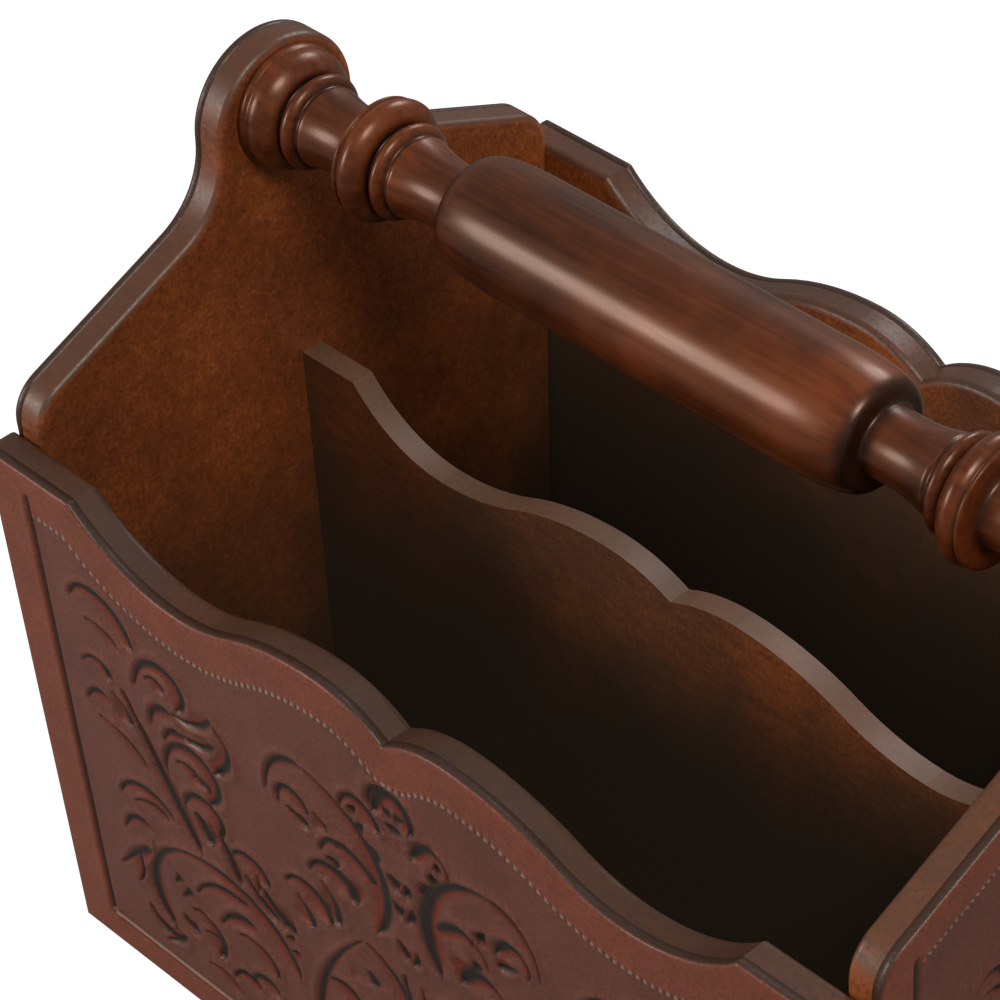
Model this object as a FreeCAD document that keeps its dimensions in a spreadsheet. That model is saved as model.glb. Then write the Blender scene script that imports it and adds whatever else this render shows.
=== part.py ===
# Magazine rack: four leather-faced boards round a floor board, a divider and a turned handle.
# Millimetres. X runs along the handle, -Y is the front, +Z is up, the origin is under the centre.
import FreeCAD, Part
import Sketcher
import math
import os
import re

V = FreeCAD.Vector

doc = FreeCAD.newDocument("magazine_rack")
sizes = doc.addObject("Spreadsheet::Sheet", "Sizes")
derived = doc.addObject("Spreadsheet::Sheet", "Derived")

driving = {
    # boards and leather
    "inner_length": 342.0,
    "floor_half_depth": 102.6,
    "lean": 2.42,
    "board": 9.5,
    "leather": 3.6,
    "divider_board": 8.4,
    # wavy top edge of the long walls: its height up the leaning board, how far each feature drops
    # below that, where it is as a share of the half length, and how the bend is shared out
    "rim_height": 214.6,
    "rim_cusp_drop": 12.4,
    "rim_hump_drop": 3.1,
    "rim_hump_share": 0.152,
    "rim_dip_drop": 18.7,
    "rim_dip_share": 0.527,
    "rim_hump_bend": 0.623,
    "rim_rise_radius": 66.0,
    # the divider's top edge, in the same way
    "div_below_rim": 23.0,
    "div_cusp_drop": 10.0,
    "div_hump_drop": 3.3,
    "div_hump_share": 0.164,
    "div_dip_drop": 19.7,
    "div_dip_share": 0.614,
    "div_hump_bend": 0.556,
    "div_rise_radius": 52.0,
    # bell-shaped end boards
    "corner_rise": 4.0,
    "shoulder_radius": 15.0,
    "shoulder_slope": 23.0,
    "throat_radius": 30.0,
    "head_radius": 28.4,
    # turned handle
    "handle_rise": 5.1,
    "grip_radius": 20.6,
    "grip_share": 0.491,
    "grip_round": 18.0,
    "grip_end_radius": 17.6,
    "neck_radius": 11.6,
    "neck_bow": 44.0,
    "bead_share": 0.716,
    "bead_radius": 20.3,
    "bead_width": 11.0,
    "ring_radius": 16.2,
    "ring_width": 5.0,
    "flange_radius": 21.0,
    "flange_width": 12.0,
    # fasteners
    "nail_radius": 0.8,
    "nail_head_radius": 1.6,
    "nail_head": 1.0,
    "nail_length": 28.0,
    "screw_radius": 2.2,
    "screw_head_radius": 4.2,
    "screw_head": 2.6,
    "screw_length": 34.0,
    "clearance": 0.1,
    # rounded edges
    "wood_round": 2.5,
    "leather_round": 1.2,
}

formulas = {
    "half_length": "inner_length / 2",
    "outer_half_length": "half_length + board + leather",
    "end_face": "half_length + board",
    "wall_face": "floor_half_depth + board",
    "rim_half_depth": "floor_half_depth + rim_height * sin(lean * 1deg)",
    "floor_top_half_depth": "floor_half_depth + board * tan(lean * 1deg)",
    "rim_level": "rim_height * cos(lean * 1deg)",
    "div_height": "rim_height - div_below_rim",
    # bell outline, upwards: rounded corner, straight shoulder, throat circle, head circle
    "corner_foot": "rim_level + corner_rise",
    "corner_top": "corner_foot + shoulder_radius * cos(shoulder_slope * 1deg)",
    "corner_at": "rim_half_depth - shoulder_radius * (1 - sin(shoulder_slope * 1deg))",
    "throat_end_at": "head_radius + throat_radius * (1 - sin(shoulder_slope * 1deg))",
    "throat_end": "corner_top + (corner_at - throat_end_at) * tan(shoulder_slope * 1deg)",
    "head_height": "throat_end + throat_radius * cos(shoulder_slope * 1deg)",
    "head_top": "head_height + head_radius",
    # stations along the handle, outwards from the middle
    "handle_height": "head_height + handle_rise",
    "grip_end_at": "half_length * grip_share",
    "grip_shoulder_at": "grip_end_at - grip_round",
    "bead_at": "half_length * bead_share",
    "grip_fall": "grip_radius - grip_end_radius",
    "grip_arc": "(grip_round ^ 2 + grip_fall ^ 2) / (2 * grip_fall)",
    "bead_in_at": "bead_at - bead_width / 2",
    "bead_out_at": "bead_at + bead_width / 2",
    "bead_arc": "bead_width * 0.62",
    "bead_edge": "bead_radius - bead_width * 0.25",
    "groove_radius": "neck_radius + 2",
    "ring_out_at": "bead_in_at - 1.6",
    "ring_in_at": "ring_out_at - ring_width",
    "ring_arc": "ring_width * 0.55",
    "ring_edge": "ring_radius - ring_width * 0.32",
    "inner_neck_at": "ring_in_at - 1.6",
    "outer_neck_at": "bead_out_at + 1.2",
    "neck_edge": "neck_radius + 1.2",
    "flange_in_at": "half_length - flange_width",
    "flange_rim_at": "half_length - 3",
    "flange_edge": "flange_radius - 4.6",
    "flange_arc": "flange_width * 0.9",
    "end_ring_out_at": "flange_in_at - 1.4",
    "end_ring_in_at": "end_ring_out_at - ring_width",
    "outer_neck_end_at": "end_ring_in_at - 1.6",
    "zero": "0",
    # nail and screw lines
    "end_board_middle": "half_length + board / 2",
    "floor_middle": "board / 2",
}


def add_edge_formulas(name, half):
    """Arcs of one wavy top edge: from the cusp over the hump, into the dip, up to the end.
    Hump and dip meet at the turn, where their two circles touch."""
    run = f"({name}_dip_at - {name}_hump_at)"
    drop = f"({name}_hump - {name}_dip)"
    fall = f"({name}_hump - {name}_cusp)"
    for feature in ("cusp", "hump", "dip"):
        formulas[f"{name}_{feature}"] = f"{name}_height - {name}_{feature}_drop"
    for feature in ("hump", "dip"):
        formulas[f"{name}_{feature}_at"] = f"{half} * {name}_{feature}_share"
    formulas[f"{name}_radii"] = f"({run} ^ 2 + {drop} ^ 2) / (2 * {drop})"
    formulas[f"{name}_hump_radius"] = f"{name}_radii * {name}_hump_bend"
    formulas[f"{name}_dip_radius"] = f"{name}_radii * (1 - {name}_hump_bend)"
    formulas[f"{name}_cusp_radius"] = f"({name}_hump_at ^ 2 + {fall} ^ 2) / (2 * {fall})"
    formulas[f"{name}_turn_at"] = f"{name}_hump_at + {run} * {name}_hump_bend"
    formulas[f"{name}_turn"] = f"{name}_hump - {drop} * {name}_hump_bend"
    formulas[f"{name}_rise_at"] = (
        f"{name}_dip_at + sqrt({name}_rise_radius ^ 2 - ({name}_rise_radius - {name}_dip_drop) ^ 2)"
    )


def fill(sheet, entries):
    for row, (alias, content) in enumerate(entries.items(), start=1):
        sheet.set(f"A{row}", alias)
        sheet.set(f"B{row}", str(content))
        sheet.setAlias(f"B{row}", alias)
    doc.recompute()


def from_sizes(text):
    return re.sub(r"[a-z_]+", lambda m: "Sizes." + m.group() if m.group() in driving else m.group(), text)


add_edge_formulas("rim", "outer_half_length")
add_edge_formulas("div", "half_length")
fill(sizes, driving)
fill(derived, {alias: "=" + from_sizes(text) for alias, text in formulas.items()})


def size(alias):
    return float((sizes if alias in driving else derived).get(alias))


def cell(alias):
    return ("Sizes." if alias in driving else "Derived.") + alias


def plane_of(body, role):
    return next(p for p in body.Origin.OriginFeatures if p.Role == role)


def arc_between(start, end, radius, side):
    """Minor arc from start to end, bulging to the left (+1) or right (-1) of the way travelled."""
    chord = end - start
    half = chord.Length / 2
    bulge = radius - math.sqrt(radius ** 2 - half ** 2)
    left = V(-chord.y, chord.x, 0)
    left.normalize()
    return Part.Arc(start, (start + end) * 0.5 + left * (bulge * side), end)


def draw(sketch, stations):
    """Closed outline through stations (x, y) or (x, y, radius, side), all given as cell names.
    A radius makes the segment that leaves the station an arc."""
    corners = [V(size(s[0]), size(s[1]), 0) for s in stations]
    ends = []
    for i, station in enumerate(stations):
        start = corners[i]
        end = corners[(i + 1) % len(corners)]
        if len(station) == 2:
            sketch.addGeometry(Part.LineSegment(start, end), False)
        else:
            sketch.addGeometry(arc_between(start, end, size(station[2]), station[3]), False)
        forward = sketch.getPoint(i, 1).isEqual(start, 1e-6)
        ends.append((1, 2) if forward else (2, 1))
    for i, station in enumerate(stations):
        before = i - 1 if i else len(stations) - 1
        first = ends[i][0]
        sketch.addConstraint(Sketcher.Constraint("Coincident", before, ends[before][1], i, first))
        for kind, axis, alias in (("DistanceX", -2, station[0]), ("DistanceY", -1, station[1])):
            if alias == "zero":
                sketch.addConstraint(Sketcher.Constraint("PointOnObject", i, first, axis))
            else:
                at = sketch.addConstraint(Sketcher.Constraint(kind, -1, 1, i, first, size(alias)))
                sketch.setExpression(f"Constraints[{at}]", cell(alias))
        if len(station) == 4:
            at = sketch.addConstraint(Sketcher.Constraint("Radius", i, size(station[2])))
            sketch.setExpression(f"Constraints[{at}]", cell(station[2]))


def half_board(name, plane, stations, offset, thickness, lean=0, along=None):
    """Half of a board, drawn on one side of the middle, padded and mirrored to the other side.
    offset moves the sketch along its normal; along is the direction of the thickness."""
    body = doc.addObject("PartDesign::Body", name)
    sketch = body.newObject("Sketcher::SketchObject", name + "_outline")
    sketch.AttachmentSupport = (plane_of(body, plane), "")
    sketch.MapMode = "FlatFace"
    sketch.AttachmentOffset = FreeCAD.Placement(V(0, 0, 0), FreeCAD.Rotation(V(1, 0, 0), lean))
    sketch.setExpression("AttachmentOffset.Base.z", offset)
    if lean:
        sketch.setExpression("AttachmentOffset.Rotation.Angle", f"{lean} * Sizes.lean * 1deg")
    draw(sketch, stations)
    pad = body.newObject("PartDesign::Pad", name + "_pad")
    pad.Profile = sketch
    pad.setExpression("Length", thickness)
    if along is None:
        pad.Midplane = True
    else:
        pad.UseCustomVector = True
        pad.AlongSketchNormal = False
        pad.Direction = along
    doc.recompute()
    mirror = body.newObject("PartDesign::Mirrored", name + "_mirror")
    mirror.Originals = [pad]
    mirror.MirrorPlane = (plane_of(body, "YZ_Plane" if plane == "XZ_Plane" else "XZ_Plane"), [""])
    mirror.Refine = True
    body.Tip = mirror
    doc.recompute()
    return body


def turned(name, stations, plane="XZ_Plane", axis="V_Axis"):
    """Body of revolution from a half section."""
    body = doc.addObject("PartDesign::Body", name)
    sketch = body.newObject("Sketcher::SketchObject", name + "_section")
    sketch.AttachmentSupport = (plane_of(body, plane), "")
    sketch.MapMode = "FlatFace"
    draw(sketch, stations)
    spin = body.newObject("PartDesign::Revolution", name + "_turning")
    spin.Profile = sketch
    spin.ReferenceAxis = (sketch, [axis])
    spin.Angle = 360
    body.Tip = spin
    doc.recompute()
    return body


def round_top(body, alias, on_face):
    """Fillet the top outline of a board, all along the face that the test picks."""
    base = body.Tip
    names = []
    for i, edge in enumerate(base.Shape.Edges, start=1):
        middle = edge.valueAt((edge.FirstParameter + edge.LastParameter) / 2)
        points = [middle] + [v.Point for v in edge.Vertexes]
        if min(p.z for p in points) > 1 and all(on_face(p) for p in points):
            names.append(f"Edge{i}")
    fillet = body.newObject("PartDesign::Fillet", body.Name + "_round")
    fillet.Base = (base, names)
    fillet.setExpression("Radius", cell(alias))
    body.Tip = fillet
    doc.recompute()


def wall_plane(offset, side):
    """Test for points on a long wall's leaning plane, offset from the middle at floor level."""
    slope = math.tan(math.radians(size("lean")))
    return lambda p: abs(side * p.y - offset - p.z * slope) < 1e-3


def end_plane(at):
    return lambda p: abs(p.x - at) < 1e-3


rim = [
    ("zero", "zero"),
    ("outer_half_length", "zero"),
    ("outer_half_length", "rim_height"),
    ("rim_rise_at", "rim_height", "rim_rise_radius", 1),
    ("rim_dip_at", "rim_dip", "rim_dip_radius", 1),
    ("rim_turn_at", "rim_turn", "rim_hump_radius", -1),
    ("rim_hump_at", "rim_hump", "rim_cusp_radius", -1),
    ("zero", "rim_cusp"),
]
divider_outline = [
    ("zero", "board"),
    ("half_length", "board"),
    ("half_length", "div_height"),
    ("div_rise_at", "div_height", "div_rise_radius", 1),
    ("div_dip_at", "div_dip", "div_dip_radius", 1),
    ("div_turn_at", "div_turn", "div_hump_radius", -1),
    ("div_hump_at", "div_hump", "div_cusp_radius", -1),
    ("zero", "div_cusp"),
]
bell = [
    ("zero", "zero"),
    ("floor_half_depth", "zero"),
    ("rim_half_depth", "rim_level"),
    ("rim_half_depth", "corner_foot", "shoulder_radius", -1),
    ("corner_at", "corner_top"),
    ("throat_end_at", "throat_end", "throat_radius", 1),
    ("head_radius", "head_height", "head_radius", -1),
    ("zero", "head_top"),
]
floor_section = [
    ("zero", "zero"),
    ("floor_half_depth", "zero"),
    ("floor_top_half_depth", "board"),
    ("zero", "board"),
]
handle_section = [
    ("zero", "zero"),
    ("half_length", "zero"),
    ("half_length", "flange_radius"),
    ("flange_rim_at", "flange_radius", "flange_arc", -1),
    ("flange_in_at", "flange_edge"),
    ("flange_in_at", "groove_radius"),
    ("end_ring_out_at", "groove_radius"),
    ("end_ring_out_at", "ring_edge", "ring_arc", -1),
    ("end_ring_in_at", "ring_edge"),
    ("end_ring_in_at", "groove_radius"),
    ("outer_neck_end_at", "neck_edge", "neck_bow", 1),
    ("outer_neck_at", "neck_edge"),
    ("bead_out_at", "groove_radius"),
    ("bead_out_at", "bead_edge", "bead_arc", -1),
    ("bead_in_at", "bead_edge"),
    ("bead_in_at", "groove_radius"),
    ("ring_out_at", "groove_radius"),
    ("ring_out_at", "ring_edge", "ring_arc", -1),
    ("ring_in_at", "ring_edge"),
    ("ring_in_at", "groove_radius"),
    ("inner_neck_at", "neck_edge", "neck_bow", 1),
    ("grip_end_at", "neck_edge"),
    ("grip_end_at", "grip_end_radius", "grip_arc", -1),
    ("grip_shoulder_at", "grip_radius"),
    ("zero", "grip_radius"),
]

FRONT, BACK = -1, 1
LEFT, RIGHT = -1, 1

blanks = {}
for name, side in (("front", FRONT), ("back", BACK)):
    outward = V(0, side, 0)
    board = half_board(f"{name}_board", "XZ_Plane", rim, f"{-side} * Sizes.floor_half_depth",
                       "Sizes.board", lean=-side, along=outward)
    round_top(board, "wood_round", wall_plane(size("floor_half_depth"), side))
    skin = half_board(f"{name}_leather", "XZ_Plane", rim, f"{-side} * Derived.wall_face",
                      "Sizes.leather", lean=-side, along=outward)
    face = size("wall_face") + size("leather")
    round_top(skin, "leather_round", wall_plane(face, side))
    blanks[f"{name}_panel"] = board

for name, side in (("left", LEFT), ("right", RIGHT)):
    outward = V(side, 0, 0)
    board = half_board(f"{name}_board", "YZ_Plane", bell, f"{side} * Derived.half_length",
                       "Sizes.board", along=outward)
    round_top(board, "wood_round", end_plane(side * size("half_length")))
    skin = half_board(f"{name}_end_leather", "YZ_Plane", bell, f"{side} * Derived.end_face",
                      "Sizes.leather", along=outward)
    round_top(skin, "leather_round", end_plane(side * size("outer_half_length")))
    blanks[f"{name}_end_panel"] = board

blanks["bottom_board"] = half_board("floor_board", "YZ_Plane", floor_section, "0", "Sizes.inner_length")
blanks["divider"] = half_board("divider_board", "XZ_Plane", divider_outline, "0", "Sizes.divider_board")
blanks["handle"] = turned("handle_turning", handle_section, "XY_Plane", "H_Axis")
grip_mirror = blanks["handle"].newObject("PartDesign::Mirrored", "handle_mirror")
grip_mirror.Originals = [blanks["handle"].Tip]
grip_mirror.MirrorPlane = (plane_of(blanks["handle"], "YZ_Plane"), [""])
blanks["handle"].Tip = grip_mirror
blanks["handle"].setExpression("Placement.Base.z", "Derived.handle_height")
doc.recompute()


def fastener(name, kind, gap):
    """Flat-headed nail or screw that points along +Z from the top of its head, or its hole."""
    body = doc.addObject("PartDesign::Body", name)
    for part, radius, length in (("shank", f"{kind}_radius", f"{kind}_length"),
                                 ("head", f"{kind}_head_radius", f"{kind}_head")):
        cylinder = body.newObject("PartDesign::AdditiveCylinder", f"{name}_{part}")
        cylinder.setExpression("Radius", f"Sizes.{radius} + {gap} * Sizes.clearance")
        deeper = gap if part == "shank" else 0
        cylinder.setExpression("Height", f"Sizes.{length} + {deeper} * Sizes.clearance")
        body.Tip = cylinder
    doc.recompute()
    return body


nail = fastener("nail", "nail", 0)
nail_hole = fastener("nail_hole", "nail", 1)
screw = fastener("screw", "screw", 0)
screw_hole = fastener("screw_hole", "screw", 1)


def wall_place(side, across, up):
    """Fastener at the outer face of a long wall, square to the leaning board."""
    depth = f"{side} * (Derived.wall_face + ({up}) * sin(Sizes.lean * 1deg))"
    return (across, depth, f"({up}) * cos(Sizes.lean * 1deg)"), (side, 0, 0), "(90 - Sizes.lean) * 1deg"


def end_place(side, across, up):
    """Fastener at the outer face of an end board, along the handle's direction."""
    return (f"{side} * Derived.end_face", across, up), (0, -side, 0), "90 deg"


def floor_place(across):
    return (across, "0", "0"), (0, 0, 1), "0 deg"


fastener_places = {
    "front_nails": [],
    "back_nails": [],
    "end_nails": [],
    "floor_nails": [floor_place(f"{k} * Derived.half_length * 0.55") for k in (-1, 0, 1)],
    "handle_screws": [end_place(side, "0", "Derived.handle_height") for side in (LEFT, RIGHT)],
}
for name, side in (("front_nails", FRONT), ("back_nails", BACK)):
    for end in (LEFT, RIGHT):
        for share in (0.2, 0.5, 0.8):
            place = wall_place(side, f"{end} * Derived.end_board_middle", f"Sizes.rim_height * {share}")
            fastener_places[name].append(place)
    for k in (-1, 0, 1):
        place = wall_place(side, f"{k} * Derived.half_length * 0.7", "Derived.floor_middle")
        fastener_places[name].append(place)
for side in (LEFT, RIGHT):
    for k in (-1, 1):
        place = end_place(side, f"{k} * Sizes.floor_half_depth * 0.6", "Derived.floor_middle")
        fastener_places["end_nails"].append(place)
    for share in (0.3, 0.75):
        fastener_places["end_nails"].append(end_place(side, "0", f"Derived.div_height * {share}"))


def placed_copies(name, original, places):
    """Compound of links to one fastener, each at its own place."""
    links = []
    for i, (base, axis, angle) in enumerate(places):
        link = doc.addObject("App::Link", f"{name}_{i + 1}")
        link.LinkedObject = original
        link.Placement = FreeCAD.Placement(V(0, 0, 0), FreeCAD.Rotation(V(*axis), 45))
        for coordinate, formula in zip("xyz", base):
            link.setExpression(f"Placement.Base.{coordinate}", formula)
        link.setExpression("Placement.Rotation.Angle", angle)
        links.append(link)
    compound = doc.addObject("Part::Compound", name)
    compound.Links = links
    return compound


pieces = {}
holes = []
for name, places in fastener_places.items():
    screwed = name == "handle_screws"
    pieces[name] = placed_copies(name, screw if screwed else nail, places)
    holes.append(placed_copies(name + "_holes", screw_hole if screwed else nail_hole, places))
all_holes = doc.addObject("Part::Compound", "all_holes")
all_holes.Links = holes
doc.recompute()

for name, blank in blanks.items():
    drilled = doc.addObject("Part::Cut", name)
    drilled.Base = blank
    drilled.Tool = all_holes
    pieces[name] = drilled
for name in ("front_leather", "back_leather", "left_end_leather", "right_end_leather"):
    pieces[name] = doc.getObject(name)
doc.recompute()

failed = [obj.Name for obj in doc.Objects if "Invalid" in obj.State or "Error" in obj.State]
if failed:
    raise RuntimeError(f"failed objects: {failed}")
for name, blank in blanks.items():
    if pieces[name].Shape.Volume > blank.Shape.Volume - 1:
        raise RuntimeError(f"{name} has no holes")

os.makedirs("parts", exist_ok=True)
for name, piece in pieces.items():
    piece.Label = name
    shape = piece.Shape
    if shape.isNull() or not shape.isValid():
        raise RuntimeError(f"{name} has no valid shape")
    shape.exportStep(f"parts/{name}.step")
    print(name, len(shape.Solids), round(shape.Volume))
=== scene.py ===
# Magazine rack with tooled leather faces and a turned handle: the looks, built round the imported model.
# Metres throughout. X runs along the handle, -Y is the front, +Z is up.
import math

import bpy
import numpy as np
from mathutils import Matrix, Vector
from mathutils.bvhtree import BVHTree


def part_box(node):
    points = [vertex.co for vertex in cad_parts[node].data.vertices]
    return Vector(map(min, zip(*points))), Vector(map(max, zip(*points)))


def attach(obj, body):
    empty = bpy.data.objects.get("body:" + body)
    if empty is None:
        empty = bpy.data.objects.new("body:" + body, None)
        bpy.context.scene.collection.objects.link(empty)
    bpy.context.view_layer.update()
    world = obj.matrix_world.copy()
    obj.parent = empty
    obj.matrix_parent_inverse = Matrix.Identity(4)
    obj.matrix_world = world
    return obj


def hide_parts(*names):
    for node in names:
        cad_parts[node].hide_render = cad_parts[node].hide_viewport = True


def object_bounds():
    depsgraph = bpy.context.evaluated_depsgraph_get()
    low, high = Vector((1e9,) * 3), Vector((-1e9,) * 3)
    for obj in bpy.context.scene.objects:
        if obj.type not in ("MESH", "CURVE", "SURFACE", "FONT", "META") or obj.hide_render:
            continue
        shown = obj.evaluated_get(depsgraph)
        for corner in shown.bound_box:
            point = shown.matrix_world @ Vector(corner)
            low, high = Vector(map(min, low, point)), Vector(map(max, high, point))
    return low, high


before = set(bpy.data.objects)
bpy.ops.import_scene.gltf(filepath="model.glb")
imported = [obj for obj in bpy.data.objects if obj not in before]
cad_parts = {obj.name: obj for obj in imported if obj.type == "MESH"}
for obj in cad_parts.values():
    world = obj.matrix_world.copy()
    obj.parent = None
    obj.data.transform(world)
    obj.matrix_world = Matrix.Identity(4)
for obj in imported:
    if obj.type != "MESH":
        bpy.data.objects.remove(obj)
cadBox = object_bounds()
mm = 0.001
print("frame loaded:", len(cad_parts), "nodes")


def toLinear(hexColour):
    # sRGB hex to the linear colour that the shaders want
    channels = [int(hexColour[i:i + 2], 16) / 255 for i in (1, 3, 5)]
    linear = [c / 12.92 if c <= 0.04045 else ((c + 0.055) / 1.055) ** 2.4 for c in channels]
    return (*linear, 1.0)


def addNode(tree, kind, settings=None, links=None):
    # settings go to the node's own properties or to its sockets; links bring in outputs of other nodes
    node = tree.nodes.new("ShaderNode" + kind)
    for key, value in (settings or {}).items():
        if key == "stops":
            ramp = node.color_ramp
            for place, colour in value[1:-1]:
                ramp.elements.new(place)
            for element, (place, colour) in zip(ramp.elements, value):
                element.position = place
                element.color = toLinear(colour)
        elif isinstance(key, str) and hasattr(node, key):
            setattr(node, key, value)
        elif isinstance(value, str):
            node.inputs[key].default_value = toLinear(value)
        else:
            node.inputs[key].default_value = value
    for key, source in (links or {}).items():
        tree.links.new(source, node.inputs[key])
    return node


def newMaterial(name):
    material = bpy.data.materials.new(name)
    material.use_nodes = True
    material.node_tree.nodes.clear()
    return material, material.node_tree


def finishMaterial(tree, surface):
    addNode(tree, "OutputMaterial", links={"Surface": surface.outputs[0]})


def newPiece(name, verts, faces, material, smooth=True):
    mesh = bpy.data.meshes.new(name)
    mesh.from_pydata([tuple(v) for v in verts], [], faces)
    mesh.polygons.foreach_set("use_smooth", [smooth] * len(mesh.polygons))
    mesh.materials.append(material)
    mesh.update()
    piece = bpy.data.objects.new(name, mesh)
    bpy.context.collection.objects.link(piece)
    return piece


def addAttribute(piece, name, values):
    attribute = piece.data.attributes.new(name, "FLOAT", "POINT")
    attribute.data.foreach_set("value", np.asarray(values, dtype=np.float32).ravel())


def smoothStep(low, high, x):
    t = np.clip((x - low) / (high - low), 0, 1)
    return t * t * (3 - 2 * t)


# Mahogany-stained board under a satin finish. It is warm and orange near the top and goes nearly black
# towards the floor, which is painted shade, darker the lower it lies; the upward edges carry a painted grey
# sheen, and the ends of the long boards take the same grey as far as endGrain says.
woodLook = {
    "shadeColour": "#41382e", "dark": "#4c2814", "middle": "#743a17", "warm": "#a05520", "edge": "#35261d",
    "cloudMm": 70, "moteMm": 1.5, "grainMm": 4.0, "grainStretch": 3,
    "unevenMm": 120, "shadeBelowMm": 95, "unshadedAboveMm": 262, "endGrain": 0.9,
    "roughness": 0.44, "coat": 0.15, "coatRoughness": 0.30, "bump": 0.10,
}


def stainedWood(name, look):
    material, tree = newMaterial(name)
    place = addNode(tree, "TexCoord")
    split = addNode(tree, "SeparateXYZ", {}, {0: place.outputs["Object"]})
    grainPlace = addNode(tree, "Mapping", {"Scale": (1 / look["grainStretch"], 1, 1)},
                         {"Vector": place.outputs["Object"]})
    clouds = addNode(tree, "TexNoise", {"Scale": 1 / (look["cloudMm"] * mm), "Detail": 3, "Roughness": 0.5},
                     {"Vector": place.outputs["Object"]})
    grain = addNode(tree, "TexNoise", {"Scale": 1 / (look["grainMm"] * mm), "Detail": 3, "Distortion": 0.4},
                    {"Vector": grainPlace.outputs[0]})
    motes = addNode(tree, "TexNoise", {"Scale": 1 / (look["moteMm"] * mm), "Detail": 3, "Roughness": 0.7},
                    {"Vector": place.outputs["Object"]})
    mix = addNode(tree, "Math", {"operation": "MULTIPLY_ADD", 1: 0.5},
                  {0: grain.outputs[0], 2: clouds.outputs[0]})
    mixMotes = addNode(tree, "Math", {"operation": "MULTIPLY_ADD", 1: 0.9},
                       {0: motes.outputs[0], 2: mix.outputs[0]})
    tone = addNode(tree, "MapRange", {"From Min": 0.88, "From Max": 1.52}, {"Value": mixMotes.outputs[0]})
    stops = [(0.0, look["dark"]), (0.5, look["middle"]), (1.0, look["warm"])]
    colour = addNode(tree, "ValToRGB", {"stops": stops},
                     {"Fac": tone.outputs[0]})
    # the height is blurred by the clouds, so the painted shade has no straight edge
    uneven = addNode(tree, "Math", {"operation": "MULTIPLY_ADD", 1: look["unevenMm"] * mm},
                     {0: clouds.outputs[0], 2: split.outputs["Z"]})
    low, high = ((look[key] + look["unevenMm"] / 2) * mm for key in ("shadeBelowMm", "unshadedAboveMm"))
    height = addNode(tree, "MapRange",
                     {"interpolation_type": "SMOOTHSTEP", "From Min": low, "From Max": high},
                     {"Value": uneven.outputs[0]})
    # painted shade: low on the board the colour goes over to the dark shade colour
    shaded = addNode(tree, "Mix", {"data_type": "RGBA", 6: look["shadeColour"]},
                     {0: height.outputs[0], 7: colour.outputs[0]})
    # painted sheen: faces that look up take the grey edge colour, speckled by the motes, and the end-grain
    # faces of the long boards take the same grey
    facing = addNode(tree, "SeparateXYZ", {}, {0: addNode(tree, "NewGeometry").outputs["Normal"]})
    upward = addNode(tree, "MapRange", {"From Min": 0.15, "From Max": 0.55, "To Max": 0.9},
                     {"Value": facing.outputs["Z"]})
    speckled = addNode(tree, "MapRange", {"From Min": 0.35, "From Max": 0.65, "To Min": 0.6, "To Max": 1.1},
                   {"Value": motes.outputs[0]})
    turned = addNode(tree, "Math", {"operation": "ABSOLUTE"}, {0: facing.outputs["X"]})
    endGrain = addNode(tree, "MapRange", {"From Min": 0.5, "From Max": 0.8, "To Max": look["endGrain"]},
                       {"Value": turned.outputs[0]})
    either = addNode(tree, "Math", {"operation": "MAXIMUM"}, {0: upward.outputs[0], 1: endGrain.outputs[0]})
    edge = addNode(tree, "Math", {"operation": "MULTIPLY", "use_clamp": True},
                   {0: either.outputs[0], 1: speckled.outputs[0]})
    withSheen = addNode(tree, "Mix", {"data_type": "RGBA", 7: look["edge"]},
                     {0: edge.outputs[0], 6: shaded.outputs[2]})
    rough = addNode(tree, "MapRange", {"From Min": 0.3, "From Max": 0.7, "To Min": look["roughness"] - 0.06,
                                       "To Max": look["roughness"] + 0.10}, {"Value": motes.outputs[0]})
    bump = addNode(tree, "Bump", {"Strength": look["bump"], "Distance": 0.0004},
                   {"Height": mixMotes.outputs[0]})
    varnish = {"IOR": 1.5, "Coat Weight": look["coat"], "Coat Roughness": look["coatRoughness"]}
    sources = {"Base Color": withSheen.outputs[2], "Roughness": rough.outputs[0], "Normal": bump.outputs[0]}
    surface = addNode(tree, "BsdfPrincipled", varnish, sources)
    finishMaterial(tree, surface)
    return material


# The same wood on the handle, rubbed smooth and lacquered brighter. The colour is darker where the section
# dips below its surroundings and on the grip's shoulder, so every ring is outlined and the crests show the
# warm stain.
handleLook = {
    "glaze": "#0f0b09", "dark": "#2e160b", "middle": "#4a2512", "warm": "#683519", "sheen": "#f4c8ae",
    "cloudMm": 45, "streakMm": 2.2, "streakStretch": 16,
    "roughness": 0.35, "coat": 0.25, "coatRoughness": 0.22, "bump": 0.05,
}


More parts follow.
